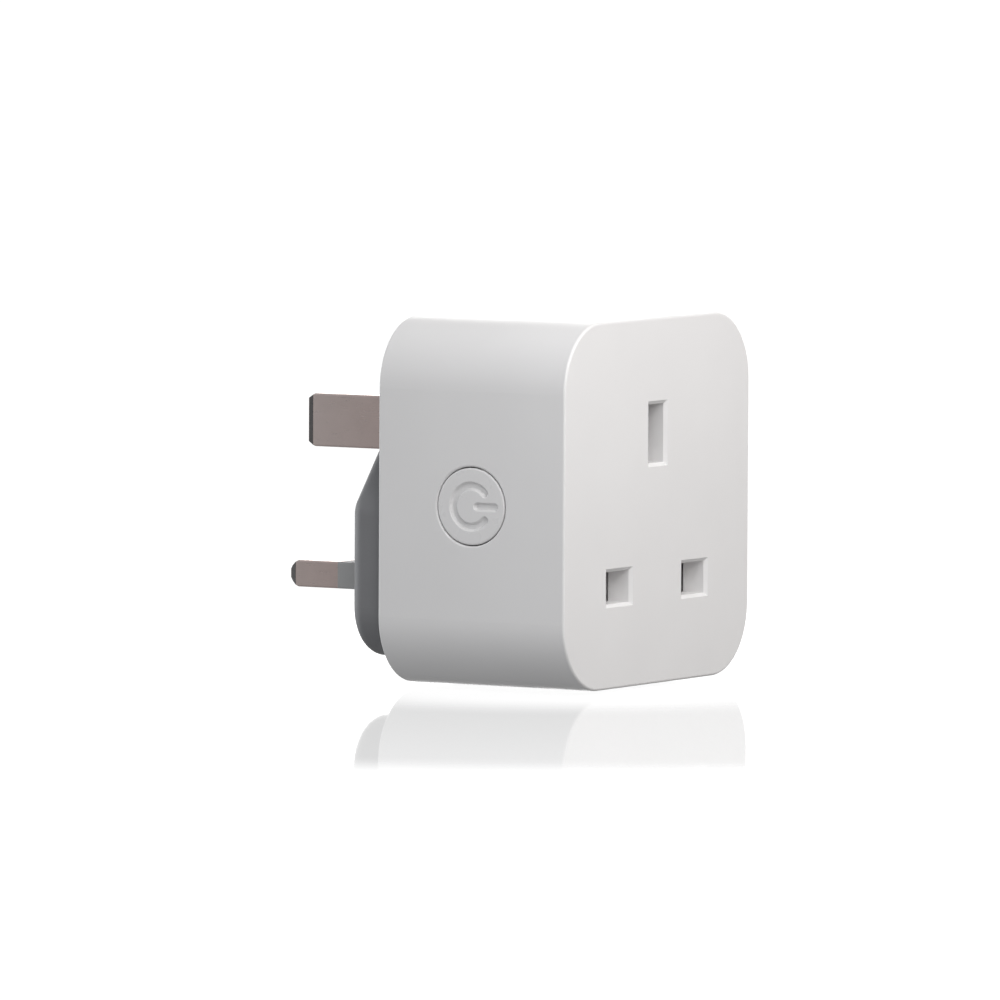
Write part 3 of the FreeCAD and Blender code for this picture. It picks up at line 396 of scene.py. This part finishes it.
# section of the button behind its face: (depth from the face, radius) in millimetres
BUTTON_SECTION = (
    (0.02, 5.55), (0.07, 5.64), (0.14, 5.69), (0.25, 5.7), (1.2, 5.7), (2.03, 5.7),
    (2.05, 5.72), (2.05, 6.66), (2.09, 6.7), (2.96, 6.7), (3.0, 6.66),
    (3.0, 4.5), (2.95, 4.45), (1.45, 4.45), (1.4, 4.4),
    (1.4, 1.62), (1.42, 1.6), (4.6, 1.6), (4.65, 1.55), (4.65, 0.6),
)


def symbol_distance(ahead, up):
    """Distance of a point on the button's face from the middle line of the power symbol."""
    if abs(math.atan2(up, ahead)) > SYMBOL_OPENING:
        ring = abs(math.hypot(ahead, up) - SYMBOL_RADIUS)
    else:
        end = (SYMBOL_RADIUS * math.cos(SYMBOL_OPENING), SYMBOL_RADIUS * math.sin(SYMBOL_OPENING))
        ring = math.hypot(ahead - end[0], abs(up) - end[1])
    beyond = max(SYMBOL_BAR[0] - ahead, ahead - SYMBOL_BAR[1], 0.0)
    return min(ring, math.hypot(beyond, up))


def symbol_sink(ahead, up):
    """How far the face is sunk at a point, with a soft wall on each side of the groove."""
    inside = (SYMBOL_HALF + SYMBOL_SLOPE / 2 - symbol_distance(ahead, up)) / SYMBOL_SLOPE
    share = min(1.0, max(0.0, inside))
    return SYMBOL_DEPTH * share * share * (3 - 2 * share)


def add_button():
    """The push button, revolved on its axis, with a finely gridded face that carries the sunk symbol."""
    vertices = [(BUTTON_FACE + symbol_sink(0.0, 0.0), 0.0, BUTTON_HEIGHT)]
    rings = [(None, FACE_RADIUS * (i + 1) / FACE_RINGS) for i in range(FACE_RINGS)]
    rings += [(BUTTON_FACE + depth * MM, radius * MM) for depth, radius in BUTTON_SECTION]
    for x, radius in rings:
        for j in range(BUTTON_SEGMENTS):
            angle = 2 * math.pi * j / BUTTON_SEGMENTS
            ahead = radius * math.cos(angle)
            up = radius * math.sin(angle)
            depth = BUTTON_FACE + symbol_sink(ahead, up) if x is None else x
            vertices.append((depth, -ahead, BUTTON_HEIGHT + up))
    tip = len(vertices)
    vertices.append((rings[-1][0], 0.0, BUTTON_HEIGHT))
    faces = []
    for j in range(BUTTON_SEGMENTS):
        following = (j + 1) % BUTTON_SEGMENTS
        faces.append((0, 1 + j, 1 + following))
        for i in range(len(rings) - 1):
            near = 1 + i * BUTTON_SEGMENTS
            far = near + BUTTON_SEGMENTS
            faces.append((near + j, far + j, far + following, near + following))
        last = 1 + (len(rings) - 1) * BUTTON_SEGMENTS
        faces.append((last + j, tip, last + following))
    return new_piece("power_button_cap", vertices, faces, "button_white", "button", "power_button")


# ---------------------------------------------------------------- shutter spring
SPRING_WIRE = 0.4 * MM
SPRING_TURNS = 4.5
SPRING_STEPS = 48                       # points in one turn
SPRING_SIDES = 14
SPRING_CLOSED = 0.13                    # pitch of the end turns, as a share of the open turns'
SPRING_END = 0.7                        # turns at each end that are closed
SPRING_OPENING = 0.5                    # turns over which the pitch opens


def add_spring():
    """The shutter's return spring, with closed end turns. It shortens between its seat and the shutter."""
    low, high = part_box("shutter_spring")
    middle = (low + high) / 2
    coil = (high.x - low.x - SPRING_WIRE) / 2
    count = int(SPRING_TURNS * SPRING_STEPS)
    rises = []
    for i in range(count):
        turn = (i + 0.5) / SPRING_STEPS
        inward = min(turn, SPRING_TURNS - turn)
        opened = min(1.0, max(0.0, (inward - SPRING_END) / SPRING_OPENING))
        rises.append(SPRING_CLOSED + (1 - SPRING_CLOSED) * opened)
    start = low.z + SPRING_WIRE / 2
    rise = (high.z - low.z - SPRING_WIRE) / sum(rises)
    vertices = []
    for i in range(count + 1):
        angle = 2 * math.pi * i / SPRING_STEPS
        height = start + rise * sum(rises[:i])
        for j in range(SPRING_SIDES):
            around = 2 * math.pi * j / SPRING_SIDES
            reach = coil + SPRING_WIRE / 2 * math.cos(around)
            vertices.append((
                middle.x + reach * math.cos(angle),
                middle.y + reach * math.sin(angle),
                height + SPRING_WIRE / 2 * math.sin(around),
            ))
    last = count * SPRING_SIDES
    faces = [tuple(range(SPRING_SIDES)), tuple(range(last, last + SPRING_SIDES))]
    for i in range(count):
        near = i * SPRING_SIDES
        for j in range(SPRING_SIDES):
            following = (j + 1) % SPRING_SIDES
            far = near + SPRING_SIDES
            faces.append((near + j, near + following, far + following, far + j))
    spring = new_piece("shutter_return_spring", vertices, faces, "spring_steel", "case", "shutter_spring")
    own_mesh(spring)


def new_piece(name, vertices, faces, slot, body, *nodes):
    """A detailed mesh that stands for one or more CAD nodes and moves with their body."""
    mesh = bpy.data.meshes.new(name)
    mesh.from_pydata(vertices, [], faces)
    shape = bmesh.new()
    shape.from_mesh(mesh)
    bmesh.ops.recalc_face_normals(shape, faces=shape.faces)
    shape.to_mesh(mesh)
    shape.free()
    mesh.shade_smooth()
    mesh.set_sharp_from_angle(angle=math.radians(50))
    mesh.materials.append(MATERIALS[slot])
    piece = bpy.data.objects.new(name, mesh)
    bpy.context.scene.collection.objects.link(piece)
    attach(piece, body)
    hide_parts(*nodes)
    return piece


# ---------------------------------------------------------------- studio
SURROUND_LEVEL = 0.325
SURROUND_SLOPE = (-0.05, -0.04, 0.15)   # how the surround brightens along +X, +Y and +Z
SURROUND_LEAST = 0.02
# glows of the surround: where each is centred, the cosines between which it sets in, and its level
GLOWS = (
    ((0.857, 0.51, 0.07), (0.86, 0.97), 2.4),       # the bright backdrop
    ((-0.1, 0.995, 0.0), (0.78, 0.98), 1.6),        # behind the pins
    ((0.0, 0.0, -1.0), (0.4, 1.0), 0.135),          # what the floor throws back
)
SEEN_LEVEL = 1.05                       # the plain white that the camera sees
WARM_WHITE = (1.0, 0.985, 0.97)
COOL_WHITE = (0.96, 0.98, 1.0)
WARM_AIM = (0.7, -0.7, 0.0)
WARM_RANGE = (-0.6, 0.6)
FLOOR_HALF = 6.0
FLOOR_DROP = 0.6 * MM
FLOOR_ROUGHNESS = 0.04
FLOOR_GLOW = 1.0
FLOOR_DIFFUSE = 0.12
FLOOR_GLOSS = 0.67
FLOOR_IOR = 1.45
FLOOR_RISE = (0.028, 0.060)             # distances from the middle between which the gloss grows
FLOOR_RISE_FROM = 0.25                  # from this share of it
FLOOR_FADE = (0.130, 0.165)             # and between which it dies out
LIGHT_AIM = (0.0, 0.0, 0.027)


def area_light(name, place, size, power, colour=(1.0, 1.0, 1.0)):
    """A square light that the camera doesn't see, aimed at the object's middle."""
    data = bpy.data.lights.new(name, "AREA")
    data.shape = "RECTANGLE"
    data.size = data.size_y = size
    data.energy = power
    data.color = colour
    light = bpy.data.objects.new(name, data)
    light.location = place
    light.rotation_euler = (Vector(place) - Vector(LIGHT_AIM)).to_track_quat("Z", "Y").to_euler()
    light.visible_camera = False
    bpy.context.scene.collection.objects.link(light)


def add_world():
    """White studio: bright behind the object and at its rear, dimmer above, dimmest low down."""
    world = bpy.data.worlds.new("surround")
    world.use_nodes = True
    bpy.context.scene.world = world
    tree = world.node_tree
    direction = tree.nodes.new("ShaderNodeTexCoord").outputs["Generated"]
    level = math_node(tree, "ADD", facing(tree, direction, SURROUND_SLOPE), SURROUND_LEVEL)
    level = math_node(tree, "MAXIMUM", level, SURROUND_LEAST)
    for aim, limits, most in GLOWS:
        glow = ranged(tree, facing(tree, direction, aim), *limits, 0.0, most)
        level = math_node(tree, "ADD", level, glow)
    tint = tree.nodes.new("ShaderNodeMix")
    tint.data_type = "RGBA"
    warmth = ranged(tree, facing(tree, direction, WARM_AIM), *WARM_RANGE)
    tree.links.new(warmth, tint.inputs["Factor"])
    for name, colour in (("A", COOL_WHITE), ("B", WARM_WHITE)):
        colour_socket(tint.inputs, name).default_value = (*colour, 1.0)
    around = tree.nodes["Background"]
    tree.links.new(colour_socket(tint.outputs), around.inputs["Color"])
    tree.links.new(level, around.inputs["Strength"])
    plain = tree.nodes.new("ShaderNodeBackground")
    plain.inputs["Color"].default_value = (1.0, 1.0, 1.0, 1.0)
    plain.inputs["Strength"].default_value = SEEN_LEVEL
    seen = tree.nodes.new("ShaderNodeMixShader")
    tree.links.new(tree.nodes.new("ShaderNodeLightPath").outputs["Is Camera Ray"], seen.inputs["Fac"])
    tree.links.new(around.outputs["Background"], seen.inputs[1])
    tree.links.new(plain.outputs["Background"], seen.inputs[2])
    tree.links.new(seen.outputs["Shader"], tree.nodes["World Output"].inputs["Surface"])


def add_floor():
    """Plain white floor, glossy around the object."""
    mesh = bpy.data.meshes.new("floor")
    corners = [(-1, -1), (1, -1), (1, 1), (-1, 1)]
    vertices = [(x * FLOOR_HALF, y * FLOOR_HALF, 0) for x, y in corners]
    mesh.from_pydata(vertices, [], [(0, 1, 2, 3)])
    floor = bpy.data.objects.new("floor", mesh)
    floor.location.z = -FLOOR_DROP
    floor.visible_diffuse = False
    floor.visible_glossy = False
    floor.visible_transmission = False
    bpy.context.scene.collection.objects.link(floor)
    material = bpy.data.materials.new("floor_white")
    material.use_nodes = True
    mesh.materials.append(material)
    tree = material.node_tree
    tree.nodes.remove(tree.nodes["Principled BSDF"])
    glow = tree.nodes.new("ShaderNodeEmission")
    glow.inputs["Strength"].default_value = FLOOR_GLOW
    white = tree.nodes.new("ShaderNodeBsdfDiffuse")
    white.inputs["Color"].default_value = (FLOOR_DIFFUSE, FLOOR_DIFFUSE, FLOOR_DIFFUSE, 1.0)
    matt = tree.nodes.new("ShaderNodeAddShader")
    tree.links.new(glow.outputs["Emission"], matt.inputs[0])
    tree.links.new(white.outputs["BSDF"], matt.inputs[1])
    gloss = tree.nodes.new("ShaderNodeBsdfAnisotropic")
    gloss.inputs["Roughness"].default_value = FLOOR_ROUGHNESS
    away = tree.nodes.new("ShaderNodeVectorMath")
    away.operation = "LENGTH"
    tree.links.new(tree.nodes.new("ShaderNodeTexCoord").outputs["Object"], away.inputs[0])
    mix = tree.nodes.new("ShaderNodeMixShader")
    rise = ranged(tree, away.outputs["Value"], *FLOOR_RISE, FLOOR_RISE_FROM, 1.0)
    fade = ranged(tree, away.outputs["Value"], *FLOOR_FADE, FLOOR_GLOSS, 0.0)
    grazing = tree.nodes.new("ShaderNodeFresnel")
    grazing.inputs["IOR"].default_value = FLOOR_IOR
    near = math_node(tree, "MULTIPLY", rise, fade)
    share = math_node(tree, "MULTIPLY", near, grazing.outputs["Fac"])
    tree.links.new(share, mix.inputs["Fac"])
    tree.links.new(matt.outputs["Shader"], mix.inputs[1])
    tree.links.new(gloss.outputs["BSDF"], mix.inputs[2])
    tree.links.new(mix.outputs["Shader"], tree.nodes["Material Output"].inputs["Surface"])


def add_lights():
    """A warm key light before the socket face, and a larger one on the button's side."""
    area_light("key", (0.03, -0.17, 0.15), 0.12, 0.182, WARM_WHITE)
    area_light("side_key", (-0.14, -0.14, 0.16), 0.18, 0.28)


bpy.context.scene.view_settings.view_transform = "Standard"
MATERIALS = node_materials()
add_camera()
dress_frame()
add_button()
add_spring()
add_world()
add_floor()
add_lights()
